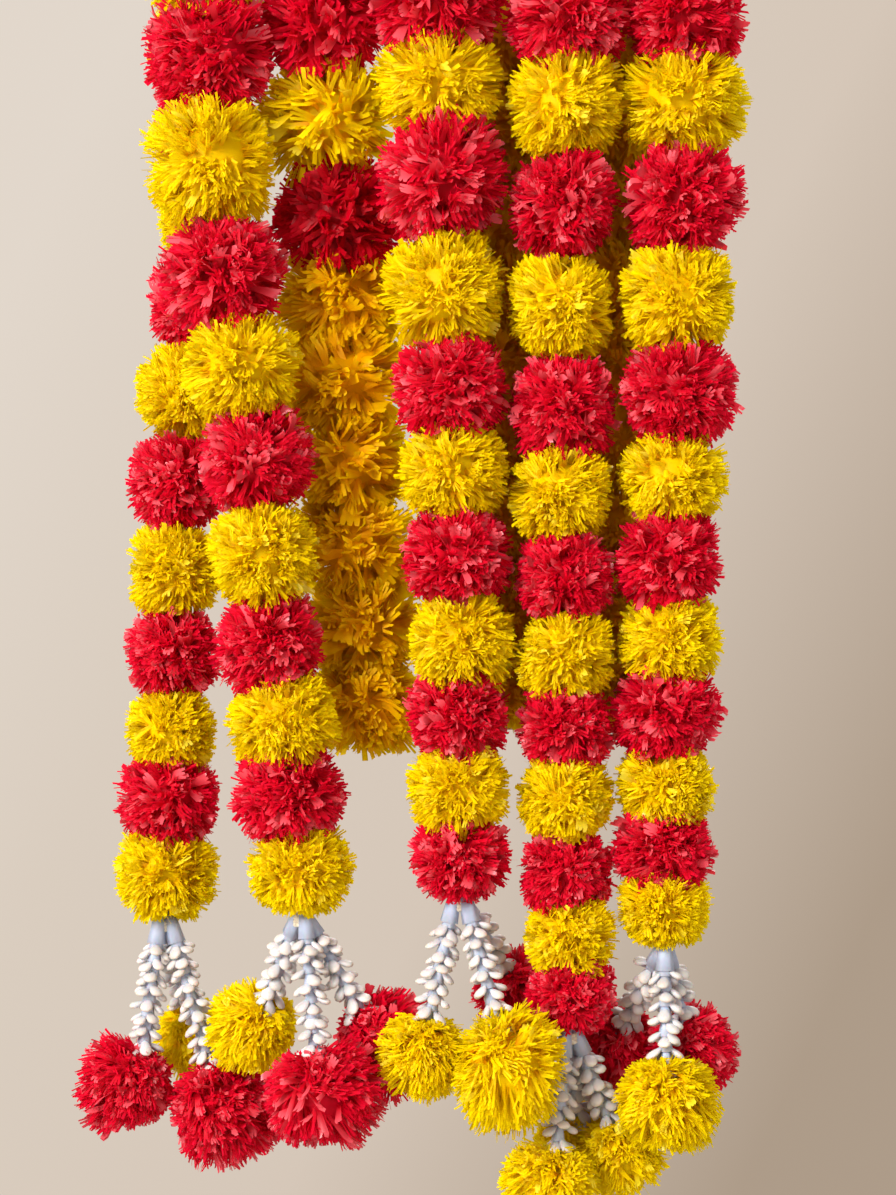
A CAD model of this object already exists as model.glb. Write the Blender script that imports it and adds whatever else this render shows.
"""The looks of a hanging bunch of marigold garlands: blooms of fringed yellow and red film on twisted
cotton strings, tassels of white buds with a pompom at every end, and the cord that all of it hangs from.

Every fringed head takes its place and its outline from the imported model, so it keeps that form."""

import math

import bmesh
import bpy
import numpy as np
from mathutils import Matrix, Vector


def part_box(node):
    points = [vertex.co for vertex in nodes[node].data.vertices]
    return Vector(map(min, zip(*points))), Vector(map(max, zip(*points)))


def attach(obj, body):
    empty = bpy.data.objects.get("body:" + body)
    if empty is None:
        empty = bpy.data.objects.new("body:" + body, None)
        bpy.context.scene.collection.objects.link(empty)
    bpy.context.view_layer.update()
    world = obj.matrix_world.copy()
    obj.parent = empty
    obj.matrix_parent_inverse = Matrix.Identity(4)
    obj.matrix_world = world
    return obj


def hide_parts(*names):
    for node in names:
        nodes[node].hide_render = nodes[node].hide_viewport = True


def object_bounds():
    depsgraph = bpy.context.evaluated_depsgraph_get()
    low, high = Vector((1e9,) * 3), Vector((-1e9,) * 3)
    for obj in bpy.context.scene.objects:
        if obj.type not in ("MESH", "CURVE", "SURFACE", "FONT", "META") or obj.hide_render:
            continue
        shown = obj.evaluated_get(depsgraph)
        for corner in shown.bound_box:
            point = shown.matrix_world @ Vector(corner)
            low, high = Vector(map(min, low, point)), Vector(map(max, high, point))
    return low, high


MM = 0.001
UP = Vector((0, 0, 1))
ALONG = Vector((1, 0, 0))
GOLDEN_TURN = math.pi * (3 - math.sqrt(5))

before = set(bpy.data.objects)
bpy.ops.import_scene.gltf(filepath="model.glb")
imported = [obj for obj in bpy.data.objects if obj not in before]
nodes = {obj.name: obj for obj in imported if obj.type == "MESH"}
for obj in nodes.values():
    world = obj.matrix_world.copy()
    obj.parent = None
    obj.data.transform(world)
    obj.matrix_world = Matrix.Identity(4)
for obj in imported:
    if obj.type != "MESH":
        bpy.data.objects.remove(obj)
cad_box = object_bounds()


# Film. A petal is a strip of film whose outer end is shredded into three blunt fingers.


class Film:
    """How a film is cut and how its petals lie. Lengths are in metres; the rest are shares.

    A head has count petals of a width. Root and reach say where they start and end, and core how big
    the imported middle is, each as a share of the way out to the head's outline. Petals lean off the
    straight way out and gather into tufts; they bow along their length, and their fingers fray.
    Chips are the petals that lie loose and nearly whole. Depth is how far up its colours the film of
    the back row goes, and droop how much longer the petals underneath hang."""

    def __init__(self, material, count, width, root, reach, lean, tufts, gather, bow, fray, chips,
                 core, depth=1.0, droop=0.0):
        self.material, self.count, self.width, self.root, self.core = material, count, width, root, core
        self.reach, self.lean, self.tufts, self.gather = reach, lean, tufts, gather
        self.bow, self.fray, self.chips, self.depth, self.droop = bow, fray, chips, depth, droop


FINGERS = 3
BLUNTNESS = 0.6  # how wide a finger's tip is, as a share of its root
SHORTER = 0.20  # how much of a petal's length a finger may lack
RAGGED = 0.05  # and how uneven the end of a finger is
CUP = 0.45  # how much a petal curls across, as a share of its width
SAG = 0.04  # how far the tips hang, as a share of a head's reach

# A chip is a petal that lies loose and stays nearly whole: wider, flatter and turned further away.
CHIP_LEAN, CHIP_WIDTH, CHIP_FULLNESS, CHIP_FRAY = 2.2, 1.25, 0.34, 0.4


def cut_petal():
    """One strip of film, 1 long and 1 wide: whole to its middle, then shredded into fingers.
    With it go each vert's place across and along it, and its finger."""
    bm = bmesh.new()
    bmesh.ops.create_grid(bm, x_segments=FINGERS, y_segments=2, size=0.5)
    inner = [edge for edge in bm.edges
             if abs(edge.verts[0].co.x - edge.verts[1].co.x) < 0.01 and abs(edge.verts[0].co.x) < 0.4]
    slits = [edge for edge in inner if edge.verts[0].co.y + edge.verts[1].co.y > 0]
    stem = [edge for edge in inner if edge not in slits]
    bmesh.ops.split_edges(bm, edges=slits)
    bmesh.ops.dissolve_edges(bm, edges=stem, use_verts=False)
    spare = [vert for vert in bm.verts if vert.co.y < -0.4 and abs(vert.co.x) < 0.4]
    bmesh.ops.dissolve_verts(bm, verts=spare)
    bm.verts.index_update()
    finger = np.zeros(len(bm.verts), int)
    for edge in bm.edges:
        middle = (edge.verts[0].co + edge.verts[1].co) / 2
        if middle.y > 0.4:
            bmesh.ops.scale(bm, vec=(BLUNTNESS, 1, 1), space=Matrix.Translation(-middle),
                            verts=edge.verts)
            for vert in edge.verts:
                finger[vert.index] = int((middle.x + 0.5) * FINGERS)
    across = np.array([vert.co.x for vert in bm.verts])
    along = np.array([vert.co.y + 0.5 for vert in bm.verts])
    mesh = bpy.data.meshes.new("cut_petal")
    bm.to_mesh(mesh)
    bm.free()
    return mesh, across, along, finger


PETAL, ACROSS, LENGTHWISE, FINGER = cut_petal()


# Heads. Each fringed head of the model, found between the two ends of its string.

STRING_EDGE = 2.9 * MM  # the string of the model has only edges shorter than this
FOCUS = 14  # how near a direction the model's petals count towards the reach that way
CORE_TONE = 0.5  # the colour of a head's packed middle, as far along a petal
BACK_ROW = 10 * MM  # heads whose middle is further back keep the film's deeper colours
SPILL = 0.04  # how far a petal may pass the longest reach of its film
RIM, PARTING = 0.72, 1.6  # how near a pompom's top its petals part round the string, and how far


class Head:
    """One fringed head: the two ends of its hole, its middle, and how far it reaches each way."""

    def __init__(self, top, foot, points):
        self.top, self.foot = top, foot
        self.middle = np.array((top + foot) / 2)
        self.axis = (top - foot).normalized()
        offsets = np.array([*points, top, foot]) - self.middle
        self.lengths = np.linalg.norm(offsets, axis=1)
        self.ways = offsets / self.lengths[:, None]

    def reach(self, ways):
        """How far the head reaches in each direction, smoothed between its petals."""
        weights = np.exp(FOCUS * (ways @ self.ways.T - 1)) * self.lengths**3
        return weights @ self.lengths / weights.sum(axis=-1)


def groups_of(verts, joined):
    """The verts in groups that edges join, where joined says which edges count."""
    left, groups = dict.fromkeys(verts), []
    while left:
        first = next(iter(left))
        del left[first]
        group = [first]
        for vert in group:
            for edge in vert.link_edges:
                other = edge.other_vert(vert)
                if other in left and joined(edge):
                    del left[other]
                    group.append(other)
        groups.append(group)
    return groups


def edges_of(verts):
    """The edges that meet these verts, each once and always in the same order."""
    return list(dict.fromkeys(edge for vert in verts for edge in vert.link_edges))


def middle_of(points):
    return sum(points, Vector()) / len(points)


def heads_of(node):
    """The heads of one node, from the top down."""
    bm = bmesh.new()
    bm.from_mesh(nodes[node].data)
    bmesh.ops.remove_doubles(bm, verts=bm.verts, dist=0.001 * MM)
    string = {vert for edge in bm.edges if edge.calc_length() < STRING_EDGE for vert in edge.verts}
    petals = [vert for vert in bm.verts if vert not in string]
    heads = []
    for group in groups_of(petals, lambda edge: True):
        inside = set(group)
        touching = dict.fromkeys(edge.other_vert(vert) for vert in group for edge in vert.link_edges)
        points = sorted((vert.co.copy() for vert in touching if vert not in inside),
                        key=lambda point: point.z)
        half = len(points) // 2
        heads.append(
            Head(middle_of(points[half:]), middle_of(points[:half]), [v.co.copy() for v in group])
        )
    bm.free()
    return sorted(heads, key=lambda head: -head.middle[2])


def unit(vectors):
    return vectors / np.linalg.norm(vectors, axis=-1, keepdims=True)


def standing(axis):
    """The rotation that turns Z to an axis."""
    return np.array(Vector(axis).to_track_quat("Z", "Y").to_matrix())


def even_ways(count, draw, unevenness):
    """Directions spread evenly over a ball, each a little off its place."""
    place = np.arange(count) + 0.5
    height, turn = 1 - 2 * place / count, place * GOLDEN_TURN
    out = np.sqrt(1 - height**2)
    ways = np.stack([np.cos(turn) * out, np.sin(turn) * out, height], axis=1)
    return unit(ways + draw.normal(0, unevenness, (count, 3)))


def depth_of(head, film):
    """How far up its colours a head's film goes: the back row keeps to the deeper ones."""
    return film.depth if head.middle[1] > BACK_ROW else 1.0


def lay_petals(head, film, heart, draw):
    """The points of every petal of a head, the way each points out of it, and what the film's
    material needs to know. A heart is how far above its middle a pompom's petals spring from."""
    count = film.count
    turned = standing(unit(draw.normal(0, 1, 3)))
    ways = even_ways(count, draw, 0.05) @ turned
    tufts = even_ways(film.tufts, draw, 0.12)
    own = np.argmax(ways @ tufts.T, axis=1)
    gathered = (tufts[own] - ways) * film.gather
    tuft_lean = draw.normal(0, 0.13, (film.tufts, 3))[own]
    chip = draw.random(count) < film.chips
    lean = film.lean * np.where(chip, CHIP_LEAN, 1)[:, None]
    tip_ways = unit(ways + gathered + tuft_lean + draw.normal(0, 1, (count, 3)) * lean
                    - np.array([0, 0, SAG]))
    if heart:
        rise = np.clip(tip_ways @ np.array(head.axis) - RIM, 0, None)
        tip_ways = unit(tip_ways - rise[:, None] * np.array(head.axis) * PARTING)
    shortest, longest = film.reach
    tuft_reach = draw.uniform(0.93, 1.04, film.tufts)[own]
    hanging = 1 + film.droop * np.clip(-tip_ways[:, 2], 0, 1)**4
    stretch = draw.uniform(shortest, longest, count) * tuft_reach * hanging
    width = film.width * draw.uniform(0.7, 1.3, count) * np.where(chip, CHIP_WIDTH, 1)
    tips = head.middle + tip_ways * (head.reach(tip_ways) * stretch)[:, None]
    source = head.middle + np.array(head.axis) * heart
    roots = source + (head.middle + ways * head.reach(ways)[:, None] - source) * film.root
    run = unit(tips - roots)
    side = unit(np.cross(run, unit(draw.normal(0, 1, (count, 3)))))
    face = np.cross(side, run)

    shape = (count, len(ACROSS))
    u = ACROSS[None, :, None]
    whole = chip[:, None, None] * CHIP_FULLNESS
    v = LENGTHWISE[None, :, None]
    v = v + whole * 4 * v * (1 - v)
    shred = np.clip(2 * LENGTHWISE - 1, 0, 1)[None, :, None]
    flare = 0.4 + 0.9 * v
    per_finger = (count, FINGERS)
    reach = 1 - shred * (draw.uniform(0, SHORTER, per_finger)[:, FINGER, None]
                         + draw.uniform(0, RAGGED, shape)[:, :, None]) * (1 - whole * 2)
    bow = draw.normal(0, film.bow, (count, 1, 3)) * (4 * v * (1 - v))
    cup = draw.normal(0, CUP, (count, 1, 1)) * (4 * u**2 - 0.3) * v
    calm = np.where(chip, CHIP_FRAY, 1)[:, None, None]
    fray = draw.normal(0, film.fray, per_finger)[:, FINGER, None] * shred * calm
    splay = draw.normal(0, film.fray * 0.6, per_finger)[:, FINGER, None] * shred * calm
    wide = width[:, None, None]
    points = (
        roots[:, None] + (tips - roots)[:, None] * v * reach + bow
        + side[:, None] * (u * flare * wide + splay)
        + face[:, None] * (cup * wide + fray)
    )
    offsets = points - head.middle
    far = np.linalg.norm(offsets, axis=2)
    limit = head.reach(offsets / far[:, :, None]) * (longest + SPILL) * (1 + film.droop)
    points = head.middle + offsets * np.minimum(1, limit / far)[:, :, None]
    points = points.reshape(-1, 3)
    return points, unit(points - head.middle), {
        "petal_along": np.broadcast_to(v[:, :, 0], shape).ravel() * depth_of(head, film),
        "petal_across": np.broadcast_to(ACROSS, shape).ravel(),
        "petal_tint": np.repeat(draw.random(count), shape[1]),
        "petal_chip": np.repeat(chip.astype(float), shape[1]),
    }


def finished(name, mesh, material, replaced=()):
    """A piece of the garland: its object, its material and what it stands for."""
    mesh.materials.append(material)
    mesh.shade_smooth()
    obj = bpy.data.objects.new(name, mesh)
    bpy.context.scene.collection.objects.link(obj)
    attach(obj, "root")
    if replaced:
        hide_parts(*replaced)
    return obj


def mesh_of(bm, name):
    mesh = bpy.data.meshes.new(name)
    bm.to_mesh(mesh)
    bm.free()
    return mesh


def fringe(name, node, heads, film, seed, heart=0.0):
    """The fringed heads of one node as one piece: each a packed core with film petals all round it."""
    draw = np.random.default_rng(seed)
    bm = bmesh.new()
    for _ in range(film.count * len(heads)):
        bm.from_mesh(PETAL)
    cores = []
    for _ in heads:
        cores.append(len(bmesh.ops.create_icosphere(bm, subdivisions=2, radius=1)["verts"]))
    mesh = mesh_of(bm, name)
    points = np.zeros(len(mesh.vertices) * 3, np.float32)
    mesh.vertices.foreach_get("co", points)
    points = points.reshape(-1, 3).astype(float)
    notes = {key: np.zeros(len(points)) for key in
             ("petal_along", "petal_across", "petal_tint", "petal_chip")}
    outwards = np.zeros_like(points)
    start, step = 0, film.count * len(ACROSS)
    for head in heads:
        points[start:start + step], outwards[start:start + step], values = lay_petals(
            head, film, heart, draw)
        for key, value in values.items():
            notes[key][start:start + step] = value
        start += step
    for head, size in zip(heads, cores):
        ways = unit(points[start:start + size])
        reach = head.reach(ways) * film.core
        points[start:start + size] = head.middle + ways * reach[:, None]
        outwards[start:start + size] = ways
        notes["petal_along"][start:start + size] = CORE_TONE * depth_of(head, film)
        start += size
    mesh.vertices.foreach_set("co", points.astype(np.float32).ravel())
    for key, value in notes.items():
        mesh.attributes.new(key, "FLOAT", "POINT").data.foreach_set("value", value.astype(np.float32))
    mesh.attributes.new("head_outwards", "FLOAT_VECTOR", "POINT").data.foreach_set(
        "vector", outwards.astype(np.float32).ravel())
    mesh.update()
    return finished(name, mesh, film.material, [node])


# Materials.


def add(tree, kind, **settings):
    """A shader node with its settings; a setting that names an input sets that input."""
    made = tree.nodes.new(kind)
    for key, value in settings.items():
        if key in made.inputs:
            made.inputs[key].default_value = value
        else:
            setattr(made, key, value)
    return made


def new_group(name, inputs, outputs):
    """An empty shader node group with its sockets."""
    tree = bpy.data.node_groups.new(name, "ShaderNodeTree")
    for way, sockets in (("INPUT", inputs), ("OUTPUT", outputs)):
        for socket, kind in sockets:
            tree.interface.new_socket(socket, in_out=way, socket_type="NodeSocket" + kind)
    return tree, add(tree, "NodeGroupInput"), add(tree, "NodeGroupOutput")


def math_node(tree, operation, *values):
    made = add(tree, "ShaderNodeMath", operation=operation)
    for socket, value in zip(made.inputs, values):
        if isinstance(value, (int, float)):
            socket.default_value = value
        else:
            tree.links.new(value, socket)
    return made.outputs[0]


def ramp(tree, value, low, high, start=0.0, end=1.0):
    """A smooth step of a value from low to high."""
    made = add(tree, "ShaderNodeMapRange", interpolation_type="SMOOTHSTEP")
    tree.links.new(value, made.inputs["Value"])
    for key, number in (("From Min", low), ("From Max", high), ("To Min", start), ("To Max", end)):
        made.inputs[key].default_value = number
    return made.outputs["Result"]


def mix_colours(tree, share, first, second):
    made = add(tree, "ShaderNodeMix", data_type="RGBA")
    for socket, value in zip((made.inputs[0], made.inputs[6], made.inputs[7]), (share, first, second)):
        tree.links.new(value, socket)
    return made.outputs[2]


def attribute(tree, name):
    return add(tree, "ShaderNodeAttribute", attribute_name=name).outputs["Fac"]


def film_tone_group():
    """Film colour: deep near the string, its own tone outwards, each petal a little different."""
    tree, given, result = new_group(
        "film_tone",
        [("Deep", "Color"), ("Body", "Color"), ("Tip", "Color"), ("Chip", "Color"),
         ("Unevenness", "Float"), ("Crease", "Float")],
        [("Colour", "Color"), ("Chip Mask", "Float")],
    )
    along, tint = attribute(tree, "petal_along"), attribute(tree, "petal_tint")
    colour = mix_colours(tree, ramp(tree, along, 0.1, 0.6), given.outputs["Deep"], given.outputs["Body"])
    colour = mix_colours(tree, ramp(tree, along, 0.7, 1.0), colour, given.outputs["Tip"])
    place = add(tree, "ShaderNodeTexCoord")
    patches = add(tree, "ShaderNodeTexNoise", Scale=70.0, Detail=1.0)
    tree.links.new(place.outputs["Object"], patches.inputs["Vector"])
    spread = math_node(tree, "ADD", tint, patches.outputs["Fac"])
    spread = math_node(tree, "SUBTRACT", spread, 1.0)
    bright = math_node(tree, "MULTIPLY", spread, given.outputs["Unevenness"])
    fibre = ramp(tree, given.outputs["Crease"], 0.38, 0.60, 0.91, 1.04)
    bright = math_node(tree, "MULTIPLY", math_node(tree, "ADD", bright, 1.0), fibre)
    shade = add(tree, "ShaderNodeHueSaturation", Saturation=1.0)
    tree.links.new(bright, shade.inputs["Value"])
    tree.links.new(colour, shade.inputs["Color"])
    chips = math_node(tree, "MULTIPLY", attribute(tree, "petal_chip"), ramp(tree, along, 0.3, 1.1))
    colour = mix_colours(tree, chips, shade.outputs["Color"], given.outputs["Chip"])
    tree.links.new(colour, result.inputs["Colour"])
    tree.links.new(chips, result.inputs["Chip Mask"])
    return tree


def film_creases_group():
    """Fine creases that run the length of each petal."""
    tree, given, result = new_group(
        "film_creases", [("Fineness", "Float")], [("Height", "Float"), ("Roughness", "Float")]
    )
    across = math_node(tree, "MULTIPLY", attribute(tree, "petal_across"), given.outputs["Fineness"])
    along = math_node(tree, "MULTIPLY", attribute(tree, "petal_along"), 1.5)
    tint = math_node(tree, "MULTIPLY", attribute(tree, "petal_tint"), 90.0)
    where = add(tree, "ShaderNodeCombineXYZ")
    for socket, value in zip(where.inputs, (across, along, tint)):
        tree.links.new(value, socket)
    noise = add(tree, "ShaderNodeTexNoise", Scale=1.0, Detail=1.5)
    tree.links.new(where.outputs[0], noise.inputs["Vector"])
    tree.links.new(noise.outputs["Fac"], result.inputs["Height"])
    tree.links.new(ramp(tree, noise.outputs["Fac"], 0.3, 0.7, 0.3, 0.6), result.inputs["Roughness"])
    return tree


def film_fluff_group():
    """The way a petal takes the light, bent towards the way its head bulges, as in a dense fringe."""
    tree, given, result = new_group(
        "film_fluff", [("Normal", "Vector"), ("Softness", "Float")], [("Normal", "Vector")]
    )
    bulge = add(tree, "ShaderNodeAttribute", attribute_name="head_outwards")
    bent = add(tree, "ShaderNodeVectorMath", operation="SCALE")
    tree.links.new(bulge.outputs["Vector"], bent.inputs[0])
    tree.links.new(given.outputs["Softness"], bent.inputs["Scale"])
    both = add(tree, "ShaderNodeVectorMath", operation="ADD")
    tree.links.new(given.outputs["Normal"], both.inputs[0])
    tree.links.new(bent.outputs[0], both.inputs[1])
    straight = add(tree, "ShaderNodeVectorMath", operation="NORMALIZE")
    tree.links.new(both.outputs[0], straight.inputs[0])
    tree.links.new(straight.outputs[0], result.inputs["Normal"])
    return tree


def new_material(name):
    material = bpy.data.materials.new(name)
    material.use_nodes = True
    tree = material.node_tree
    return material, tree, tree.nodes["Principled BSDF"]


def group_node(tree, group, **values):
    made = tree.nodes.new("ShaderNodeGroup")
    made.node_tree = group
    for key, value in values.items():
        made.inputs[key.replace("_", " ")].default_value = value
    return made


def bumped(tree, height, strength, distance):
    made = add(tree, "ShaderNodeBump", Strength=strength, Distance=distance)
    tree.links.new(height, made.inputs["Height"])
    return made.outputs["Normal"]


def film_material(name, groups, deep, body, tip, chip, glow, shine, see_through, uneven):
    """Thin film, which shines a little and lets some light through from behind."""
    material, tree, shader = new_material(name)
    tone, creases, fluff = groups
    shades = group_node(tree, tone, Deep=(*deep, 1), Body=(*body, 1), Tip=(*tip, 1), Chip=(*chip, 1),
                        Unevenness=uneven)
    folds = group_node(tree, creases, Fineness=11.0)
    tree.links.new(folds.outputs["Height"], shades.inputs["Crease"])
    soft = group_node(tree, fluff, Softness=1.2)
    tree.links.new(bumped(tree, folds.outputs["Height"], 0.3, 0.4 * MM), soft.inputs["Normal"])
    tree.links.new(shades.outputs["Colour"], shader.inputs["Base Color"])
    tree.links.new(folds.outputs["Roughness"], shader.inputs["Roughness"])
    tree.links.new(shades.outputs["Chip Mask"], shader.inputs["Coat Weight"])
    shader.inputs["Coat Roughness"].default_value = 0.28
    tree.links.new(soft.outputs["Normal"], shader.inputs["Normal"])
    shader.inputs["Specular IOR Level"].default_value = shine
    back = add(tree, "ShaderNodeBsdfTranslucent", Color=(*glow, 1))
    both = add(tree, "ShaderNodeMixShader", Fac=see_through)
    tree.links.new(shader.outputs[0], both.inputs[1])
    tree.links.new(back.outputs[0], both.inputs[2])
    output = next(n for n in tree.nodes if n.type == "OUTPUT_MATERIAL")
    tree.links.new(both.outputs[0], output.inputs["Surface"])
    return material


def bud_material():
    """Soft white plastic, cool at the neck and warm at the tips."""
    material, tree, shader = new_material("white_buds")
    along, tint = attribute(tree, "bud_along"), attribute(tree, "bud_tint")
    tones = add(tree, "ShaderNodeValToRGB")
    stops = tones.color_ramp.elements
    stops[0].position, stops[0].color = 0.0, (0.34, 0.41, 0.58, 1)
    stops[1].position, stops[1].color = 1.0, (0.60, 0.54, 0.48, 1)
    body = stops.new(0.45)
    body.color = (0.57, 0.555, 0.585, 1)
    tree.links.new(along, tones.inputs["Fac"])
    shade = add(tree, "ShaderNodeHueSaturation", Saturation=1.0)
    tree.links.new(ramp(tree, tint, 0.0, 1.0, 0.86, 1.06), shade.inputs["Value"])
    tree.links.new(tones.outputs["Color"], shade.inputs["Color"])
    tree.links.new(shade.outputs["Color"], shader.inputs["Base Color"])
    place = add(tree, "ShaderNodeTexCoord")
    grain = add(tree, "ShaderNodeTexNoise", Scale=900.0, Detail=3.0)
    tree.links.new(place.outputs["Object"], grain.inputs["Vector"])
    tree.links.new(bumped(tree, grain.outputs["Fac"], 0.15, 0.3 * MM), shader.inputs["Normal"])
    tree.links.new(ramp(tree, grain.outputs["Fac"], 0.3, 0.7, 0.38, 0.6), shader.inputs["Roughness"])
    shader.inputs["Subsurface Weight"].default_value = 0.25
    shader.inputs["Subsurface Scale"].default_value = 2 * MM
    return material


def cotton_material():
    """Undyed cotton cord: short fibres, darker between the plies."""
    material, tree, shader = new_material("cotton_cord")
    place = add(tree, "ShaderNodeTexCoord")
    fibres = add(tree, "ShaderNodeTexNoise", Scale=650.0, Detail=4.0)
    tree.links.new(place.outputs["Object"], fibres.inputs["Vector"])
    tones = add(tree, "ShaderNodeValToRGB")
    stops = tones.color_ramp.elements
    stops[0].position, stops[0].color = 0.3, (0.46, 0.38, 0.27, 1)
    stops[1].position, stops[1].color = 0.7, (0.80, 0.73, 0.60, 1)
    tree.links.new(fibres.outputs["Fac"], tones.inputs["Fac"])
    tree.links.new(tones.outputs["Color"], shader.inputs["Base Color"])
    tree.links.new(bumped(tree, fibres.outputs["Fac"], 0.6, 0.5 * MM), shader.inputs["Normal"])
    tree.links.new(ramp(tree, fibres.outputs["Fac"], 0.3, 0.7, 0.95, 0.75), shader.inputs["Roughness"])
    shader.inputs["Sheen Weight"].default_value = 0.3
    return material


# Cords.

PLIES = 3
TWIST_STEPS = 10  # steps in one turn of a cord's plies
COIL_STEPS = 20  # steps in one turn of a coil
COIL_SIDES = 7


def twisted_cord(bm, start, end, radius, pitch, sides=7):
    """Three plies laid round each other from start to end."""
    run = end - start
    steps = max(3, round(run.length / pitch * TWIST_STEPS))
    ply = radius * 0.52
    verts = []
    for number in range(PLIES):
        turn = Matrix.Rotation(2 * math.pi * number / PLIES, 4, "Z")
        made = bmesh.ops.create_circle(bm, segments=sides, radius=ply)["verts"]
        bmesh.ops.translate(bm, vec=(radius - ply, 0, 0), verts=made)
        bmesh.ops.transform(bm, matrix=turn, verts=made)
        verts += made
    spun = bmesh.ops.spin(bm, geom=verts + edges_of(verts), axis=UP, cent=(0, 0, 0),
                          dvec=(0, 0, run.length / steps), angle=2 * math.pi * run.length / pitch,
                          steps=steps, use_merge=False, use_duplicate=False)
    last = [item for item in spun["geom_last"] if isinstance(item, bmesh.types.BMVert)]
    made = reached(verts)
    ends = [edge for edge in edges_of(verts + last) if edge.is_boundary]
    bmesh.ops.holes_fill(bm, edges=ends, sides=sides)
    stand = Matrix.Translation(start) @ run.to_track_quat("Z", "Y").to_matrix().to_4x4()
    bmesh.ops.transform(bm, matrix=stand, verts=made)
    return made


def reached(verts):
    """All verts that edges join to these."""
    found = dict.fromkeys(verts)
    queue = list(found)
    for vert in queue:
        for edge in vert.link_edges:
            other = edge.other_vert(vert)
            if other not in found:
                found[other] = None
                queue.append(other)
    return queue


def coil(bm, middle, axis, radius, thickness, turns):
    """A cord wound so many turns side by side round an axis."""
    axis = Vector(axis).normalized()
    side = axis.orthogonal().normalized()
    made = bmesh.ops.create_circle(bm, segments=COIL_SIDES, radius=thickness)["verts"]
    stand = Matrix((side, axis, side.cross(axis))).transposed().to_4x4()
    start = side * radius - axis * thickness * (turns - 1)
    bmesh.ops.transform(bm, matrix=Matrix.Translation(start) @ stand, verts=made)
    steps = COIL_STEPS * turns
    spun = bmesh.ops.spin(bm, geom=made + edges_of(made), axis=axis, cent=(0, 0, 0),
                          dvec=axis * (2 * thickness * (turns - 1) / steps),
                          angle=2 * math.pi * turns, steps=steps,
                          use_merge=False, use_duplicate=False)
    last = [item for item in spun["geom_last"] if isinstance(item, bmesh.types.BMVert)]
    verts = reached(made)
    ends = [edge for edge in edges_of(made + last) if edge.is_boundary]
    bmesh.ops.holes_fill(bm, edges=ends, sides=COIL_SIDES)
    bmesh.ops.translate(bm, vec=middle, verts=verts)
    return verts


# The bunch: its strands and tassels, as the model names them.

strand_letters = sorted({name.split("_")[1] for name in nodes if name.startswith("strand_")})
yellow_heads = {letter: heads_of(f"strand_{letter}_yellow_blooms") for letter in strand_letters}
red_heads = {
    name: heads_of(name)[0] for name in sorted(nodes) if name.startswith("strand_") and "_red_" in name
}
pompom_heads = {name: heads_of(name)[0] for name in sorted(nodes) if name.startswith("pompom_")}
strand_heads = {
    letter: sorted(
        yellow_heads[letter]
        + [head for name, head in red_heads.items() if name.startswith(f"strand_{letter}_")],
        key=lambda head: -head.middle[2],
    )
    for letter in strand_letters
}
front = [letter for letter in strand_letters if f"tassel_{letter}" in nodes]

groups = film_tone_group(), film_creases_group(), film_fluff_group()
yellow_film = film_material(
    "yellow_film", groups,
    deep=(1.0, 0.44, 0.0), body=(1.0, 0.74, 0.0), tip=(1.0, 0.78, 0.0), chip=(1.0, 0.86, 0.04),
    glow=(1.0, 0.78, 0.0), shine=0.06, see_through=0.48, uneven=0.08)
red_film = film_material(
    "red_film", groups,
    deep=(0.46, 0.0, 0.010), body=(0.70, 0.001, 0.022), tip=(0.82, 0.004, 0.038),
    chip=(0.94, 0.13, 0.17),
    glow=(0.94, 0.0, 0.03), shine=0.12, see_through=0.46, uneven=0.20)
white_buds = bud_material()
cotton_cord = cotton_material()

YELLOW = Film(
    yellow_film, count=1060, width=3.3 * MM, root=0.50, reach=(0.97, 1.11), lean=0.18,
    tufts=36, gather=0.45, bow=1.0 * MM, fray=0.9 * MM, chips=0.02, core=0.66)
RED = Film(
    red_film, count=1010, width=3.6 * MM, root=0.50, reach=(0.93, 1.13), lean=0.22,
    tufts=30, gather=0.42, bow=1.2 * MM, fray=1.0 * MM, chips=0.13, core=0.64)
YELLOW_BACK = Film(
    yellow_film, count=350, width=6.0 * MM, root=0.50, reach=(1.00, 1.20), lean=0.22,
    tufts=24, gather=0.3, bow=1.2 * MM, fray=0.9 * MM, chips=0.02, core=0.56, depth=0.40)
RED_BACK = Film(
    red_film, count=500, width=5.4 * MM, root=0.50, reach=(0.98, 1.18), lean=0.24,
    tufts=24, gather=0.3, bow=1.3 * MM, fray=0.9 * MM, chips=0.06, core=0.56, depth=0.30)
YELLOW_POMPOM = Film(
    yellow_film, count=1120, width=2.9 * MM, root=0.52, reach=(0.94, 1.13), lean=0.20,
    tufts=30, gather=0.40, bow=1.2 * MM, fray=1.1 * MM, chips=0.02, core=0.64, droop=0.08)
RED_POMPOM = Film(
    red_film, count=1120, width=3.0 * MM, root=0.52, reach=(0.94, 1.13), lean=0.20,
    tufts=24, gather=0.50, bow=1.3 * MM, fray=1.1 * MM, chips=0.12, core=0.62, droop=0.12)

POMPOM_HEART = 12 * MM
seed = 11
for letter in strand_letters:
    seed += 1
    film = YELLOW if letter in front else YELLOW_BACK
    fringe(f"strand_{letter}_yellow_fringe", f"strand_{letter}_yellow_blooms", yellow_heads[letter],
           film, seed)
for name, head in red_heads.items():
    seed += 1
    film = RED if name.split("_")[1] in front else RED_BACK
    fringe(name.replace("bloom", "fringe"), name, [head], film, seed)
for name, head in pompom_heads.items():
    seed += 1
    film, slot = (RED_POMPOM, "red_film") if name.endswith("red") else (YELLOW_POMPOM, "yellow_film")
    fringe(name + "_fringe", name, [head], film, seed, heart=POMPOM_HEART)


# Header cord, strings and ties.

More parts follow.
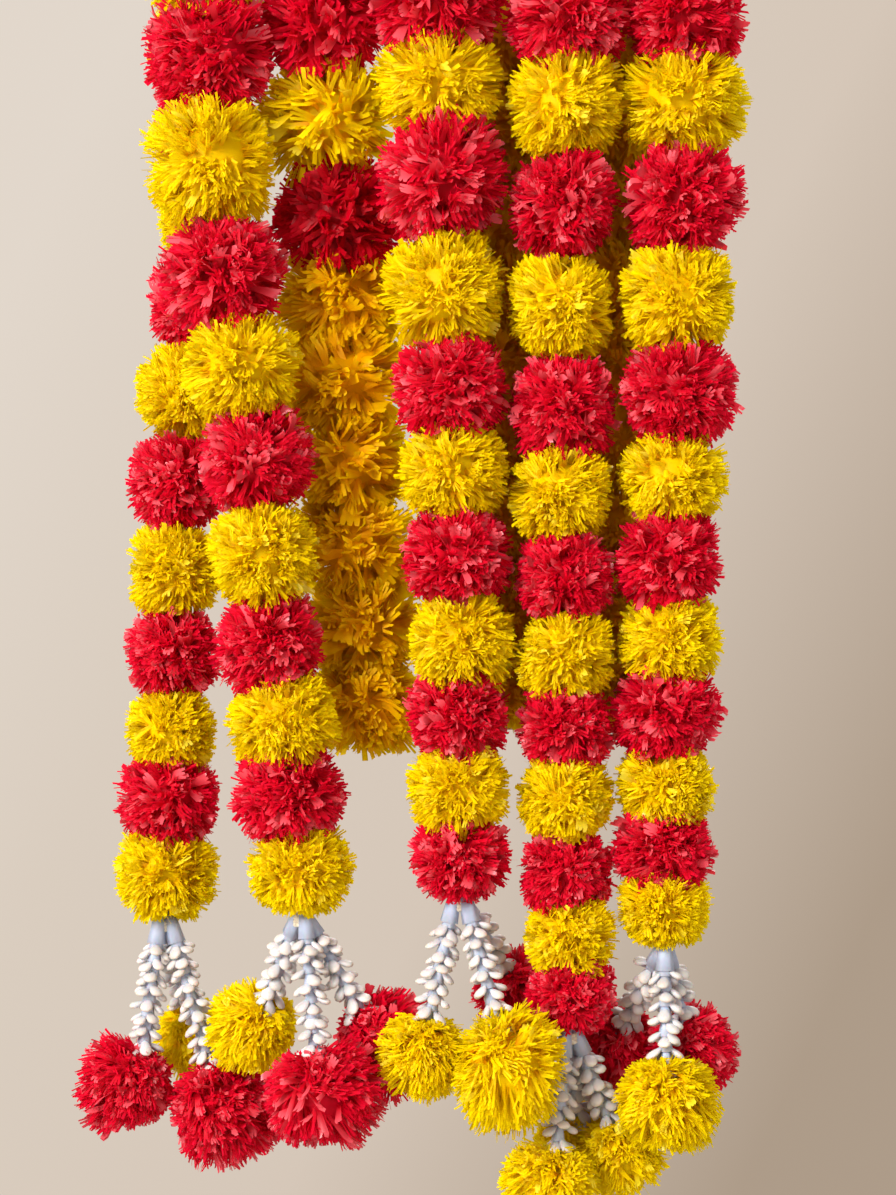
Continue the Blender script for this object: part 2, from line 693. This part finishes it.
HEADER_RADIUS, HEADER_PITCH, HEADER_SIDES = 3 * MM, 15 * MM, 8  # pitch: the length of one twist
STRING_RADIUS, STRING_PITCH = 2 * MM, 9 * MM
INTO_HEAD = 8 * MM  # how far a string runs into the heads at its two ends
low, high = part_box("header_cord")
eye_radius = (high.z - low.z) / 2 - HEADER_RADIUS
knot_reach = high.x - 2 * eye_radius - 1.5 * HEADER_RADIUS

bm = bmesh.new()
twisted_cord(bm, ALONG * -knot_reach, ALONG * knot_reach, HEADER_RADIUS, HEADER_PITCH, HEADER_SIDES)
for way in (-1, 1):
    length = 2 * math.pi * eye_radius
    eye = twisted_cord(bm, Vector((0, 0, 0)), ALONG * length, HEADER_RADIUS, HEADER_PITCH, HEADER_SIDES)
    centre = way * (knot_reach + eye_radius + HEADER_RADIUS / 2)
    for vert in eye:
        turn = vert.co.x / eye_radius
        out = eye_radius + vert.co.z
        vert.co = Vector((centre - way * out * math.cos(turn), vert.co.y, out * math.sin(turn)))
    coil(bm, ALONG * way * (knot_reach - 2 * MM), ALONG, HEADER_RADIUS + 0.9 * MM, 1.1 * MM, 5)
bmesh.ops.recalc_face_normals(bm, faces=bm.faces)
finished("header_cord_twisted", mesh_of(bm, "header_cord_twisted"), cotton_cord,
         ["header_cord"])

for letter in strand_letters:
    heads = strand_heads[letter]
    first, last = heads[0], heads[-1]
    bm = bmesh.new()
    hang = Vector((first.top.x, 0, -HEADER_RADIUS - 1.9 * MM))
    twisted_cord(bm, hang, first.top - first.axis * INTO_HEAD, STRING_RADIUS, STRING_PITCH)
    twisted_cord(bm, last.foot + UP * INTO_HEAD, last.foot - UP * 2 * MM, STRING_RADIUS, STRING_PITCH)
    coil(bm, ALONG * first.top.x, ALONG, HEADER_RADIUS + 1.4 * MM, 1.0 * MM, 3)
    coil(bm, hang - UP * 1.5 * MM, UP, 2.2 * MM, 0.9 * MM, 3)
    bmesh.ops.recalc_face_normals(bm, faces=bm.faces)
    finished(f"strand_{letter}_string", mesh_of(bm, "string"), cotton_cord)


# Tassels: strings of white buds between a knot and three pompoms.

FLUTES, GROOVE = 6, 0.84  # the flutes of a funnel, and how far in their grooves lie
NECK, PITCH = 7 * MM, 7.2 * MM  # from the knot to the first whorl, and from whorl to whorl
WHORL = 5  # buds in one whorl
OPENING = 130  # degrees that a bud stands off the way up its string
FOOT = 0.8  # buds below this share of a string are longer and stand wider
SPREAD = 4.5 * MM  # how far a string starts from the middle of its knot


def bud_note(bm, verts, along, tint):
    """Writes how far along a bud each vert is, and the bud's own tint."""
    lengths = bm.verts.layers.float["bud_along"]
    tints = bm.verts.layers.float["bud_tint"]
    for vert, share in zip(verts, along):
        vert[lengths], vert[tints] = share, tint


def bud(bm, matrix, length, width, tint):
    """One spoon-shaped bud along Z from the origin: slim at its root, full at its rounded tip."""
    verts = bmesh.ops.create_uvsphere(bm, u_segments=8, v_segments=6, radius=0.5)["verts"]
    shares = [vert.co.z + 0.5 for vert in verts]
    for vert, share in zip(verts, shares):
        swell = 0.45 + 0.55 * math.sin(min(share * 1.3, 1) * math.pi / 2) ** 1.5
        curl = 0.05 * share**2 * length
        vert.co = Vector((vert.co.x * swell * width, vert.co.y * swell * 0.50 * width - curl,
                          (share - 0.12 * share**3) * length))
    bmesh.ops.transform(bm, matrix=matrix, verts=verts)
    bud_note(bm, verts, [0.2 + 0.8 * share for share in shares], tint)


def tube(bm, matrix, length, top_radius, foot_radius, tint, tones):
    """The slim fluted funnel that the buds of a whorl grow from."""
    verts = bmesh.ops.create_cone(bm, cap_ends=True, segments=FLUTES * 2, radius1=foot_radius,
                                  radius2=top_radius, depth=length)["verts"]
    shares = [0.5 - vert.co.z / length for vert in verts]
    for vert in verts:
        flute = round(math.atan2(vert.co.y, vert.co.x) / math.pi * FLUTES)
        if flute % 2:
            vert.co.xy *= GROOVE
    bmesh.ops.transform(bm, matrix=matrix, verts=verts)
    bud_note(bm, verts, [tones[0] + (tones[1] - tones[0]) * share for share in shares], tint)


def bud_string(bm, start, end, draw):
    """Whorls of buds threaded one under the other, from the knot down to the pompom."""
    run = end - start
    down = run.normalized()
    stand = (-down).to_track_quat("Z", "Y").to_matrix().to_4x4()
    tube(bm, Matrix.Translation(start - down * 1 * MM) @ stand, NECK * 2.4, 3.0 * MM, 4.8 * MM,
         0.5, (0.0, 0.15))
    whorls = max(3, round((run.length - NECK) / PITCH) + 1)
    for number in range(whorls):
        place = start + down * (NECK + (run.length - NECK) * number / (whorls - 1))
        tube(bm, Matrix.Translation(place - down * 1.5 * MM) @ stand, 9.0 * MM, 2.0 * MM, 3.8 * MM,
             draw.random(), (0.03, 0.22))
        last = number / (whorls - 1) > FOOT
        for part in range(WHORL):
            turn = 2 * math.pi * (part + 0.45 * (number % 2)) / WHORL + draw.normal(0, 0.15)
            aside = down * PITCH * (0.35 * (part % 2) - 0.1)
            opening = math.radians(OPENING + draw.normal(0, 9) + (6 if last else 0))
            way = (Matrix.Translation(place + aside) @ stand @ Matrix.Rotation(turn, 4, "Z")
                   @ Matrix.Rotation(opening, 4, "Y") @ Matrix.Translation((0, 0, 1.5 * MM))
                   @ Matrix.Rotation(-math.pi / 2, 4, "Z"))
            length = draw.uniform(9.8, 11.4) * (1.15 if last else 1)
            bud(bm, way, length * MM, draw.uniform(7.2, 8.4) * MM, draw.random())


for letter in front:
    node = f"tassel_{letter}"
    seed += 1
    draw = np.random.default_rng(seed)
    low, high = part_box(node)
    last = strand_heads[letter][-1]
    knot = Vector((last.foot.x, last.foot.y, high.z - 7 * MM))
    bm = bmesh.new()
    bm.verts.layers.float.new("bud_along")
    bm.verts.layers.float.new("bud_tint")
    for name, head in pompom_heads.items():
        if name.startswith(f"pompom_{letter}_"):
            aside = Vector((head.top.x - knot.x, head.top.y - knot.y, 0)).normalized() * SPREAD
            bud_string(bm, knot + aside, head.top - head.axis * 1 * MM, draw)
    bmesh.ops.recalc_face_normals(bm, faces=bm.faces)
    finished(node + "_buds", mesh_of(bm, node), white_buds, [node])
    bm = bmesh.new()
    coil(bm, knot + UP * 1.0 * MM, UP, 2.6 * MM, 1.3 * MM, 3)
    bmesh.ops.recalc_face_normals(bm, faces=bm.faces)
    finished(node + "_knot", mesh_of(bm, node + "_knot"), cotton_cord)


# Studio: a round pale floor, soft light from the front left, and the camera.

low, high = cad_box
middle = (low + high) / 2
FLOOR, FLOOR_RADIUS = -1.25, 2.2
bm = bmesh.new()
bmesh.ops.create_circle(bm, cap_ends=True, segments=96, radius=FLOOR_RADIUS)
bmesh.ops.translate(bm, vec=(middle.x, middle.y, FLOOR), verts=bm.verts)
floor_mesh = mesh_of(bm, "floor")
material, tree, shader = new_material("pale_floor")
place = add(tree, "ShaderNodeTexCoord")
plaster = add(tree, "ShaderNodeTexNoise", Scale=3.0, Detail=2.0)
tree.links.new(place.outputs["Object"], plaster.inputs["Vector"])
light, dark = (add(tree, "ShaderNodeRGB") for _ in range(2))
light.outputs[0].default_value = (0.50, 0.45, 0.40, 1)
dark.outputs[0].default_value = (0.46, 0.41, 0.36, 1)
tone_share = ramp(tree, plaster.outputs["Fac"], 0.3, 0.7)
tree.links.new(mix_colours(tree, tone_share, light.outputs[0], dark.outputs[0]),
               shader.inputs["Base Color"])
shader.inputs["Roughness"].default_value = 0.9
floor_mesh.materials.append(material)
floor = bpy.data.objects.new("floor", floor_mesh)
bpy.context.scene.collection.objects.link(floor)


def area_light(name, place, aim, size, power, colour):
    lamp = bpy.data.lights.new(name, "AREA")
    lamp.shape, lamp.size, lamp.energy, lamp.color = "DISK", size, power, colour
    obj = bpy.data.objects.new(name, lamp)
    obj.location = place
    obj.rotation_mode = "QUATERNION"
    obj.rotation_quaternion = (Vector(place) - aim).to_track_quat("Z", "Y")
    obj.visible_camera = False
    bpy.context.scene.collection.objects.link(obj)


area_light("key_light", (-1.6, -2.25, 0.7), middle, 1.6, 155, (1.0, 0.99, 0.95))
area_light("fill_light", (2.0, -2.4, 0.2), middle, 1.6, 14, (1.0, 0.95, 0.90))
area_light("back_light", (0.6, 2.6, 1.2), middle, 1.6, 44, (1.0, 0.97, 0.94))

# A plain beige backdrop all round, lighter at the upper left, and dimmer soft light from it.
world = bpy.data.worlds.new("soft_air")
world.use_nodes = True
tree = world.node_tree
air = tree.nodes["Background"]
air.inputs["Color"].default_value = (1.0, 0.95, 0.90, 1)
air.inputs["Strength"].default_value = 0.66
place = add(tree, "ShaderNodeTexCoord")
parts = add(tree, "ShaderNodeSeparateXYZ")
tree.links.new(place.outputs["Generated"], parts.inputs[0])
fall = math_node(tree, "MULTIPLY", parts.outputs["Z"], 0.5)
fall = math_node(tree, "SUBTRACT", parts.outputs["X"], fall)
fall = math_node(tree, "MULTIPLY_ADD", fall, 2.0, 0.5)
tones = add(tree, "ShaderNodeValToRGB")
stops = tones.color_ramp.elements
stops[0].position, stops[0].color = 0.05, (0.76, 0.68, 0.60, 1)
stops[1].position, stops[1].color = 0.94, (0.42, 0.33, 0.25, 1)
stops.new(0.30).color = (0.70, 0.61, 0.52, 1)
stops.new(0.60).color = (0.67, 0.57, 0.48, 1)
tree.links.new(fall, tones.inputs["Fac"])
backdrop = add(tree, "ShaderNodeBackground", Strength=1.0)
tree.links.new(tones.outputs["Color"], backdrop.inputs["Color"])
seen = add(tree, "ShaderNodeLightPath")
both = add(tree, "ShaderNodeMixShader")
tree.links.new(seen.outputs["Is Camera Ray"], both.inputs[0])
tree.links.new(air.outputs[0], both.inputs[1])
tree.links.new(backdrop.outputs[0], both.inputs[2])
output = next(n for n in tree.nodes if n.type == "OUTPUT_WORLD")
tree.links.new(both.outputs[0], output.inputs["Surface"])
bpy.context.scene.world = world

FRONT_ROW = -22 * MM  # how far forward the front strands hang
AIM = 15 * MM, -374 * MM  # across and up, from the middle of the header cord
DISTANCE = 1.3
PICTURE_HEIGHT = 597.5 * MM  # what the picture takes in at the front row
SENSOR = 36
view = bpy.data.cameras.new("view")
view.lens = SENSOR * DISTANCE / PICTURE_HEIGHT
view.sensor_width, view.sensor_fit = SENSOR, "AUTO"
camera = bpy.data.objects.new("view", view)
camera.location = (AIM[0], FRONT_ROW - DISTANCE, AIM[1])
camera.rotation_euler = (math.pi / 2, 0, 0)
bpy.context.scene.collection.objects.link(camera)
bpy.context.scene.camera = camera
bpy.context.scene.view_settings.view_transform = "Standard"
bpy.context.scene.cycles.transmission_bounces = 6
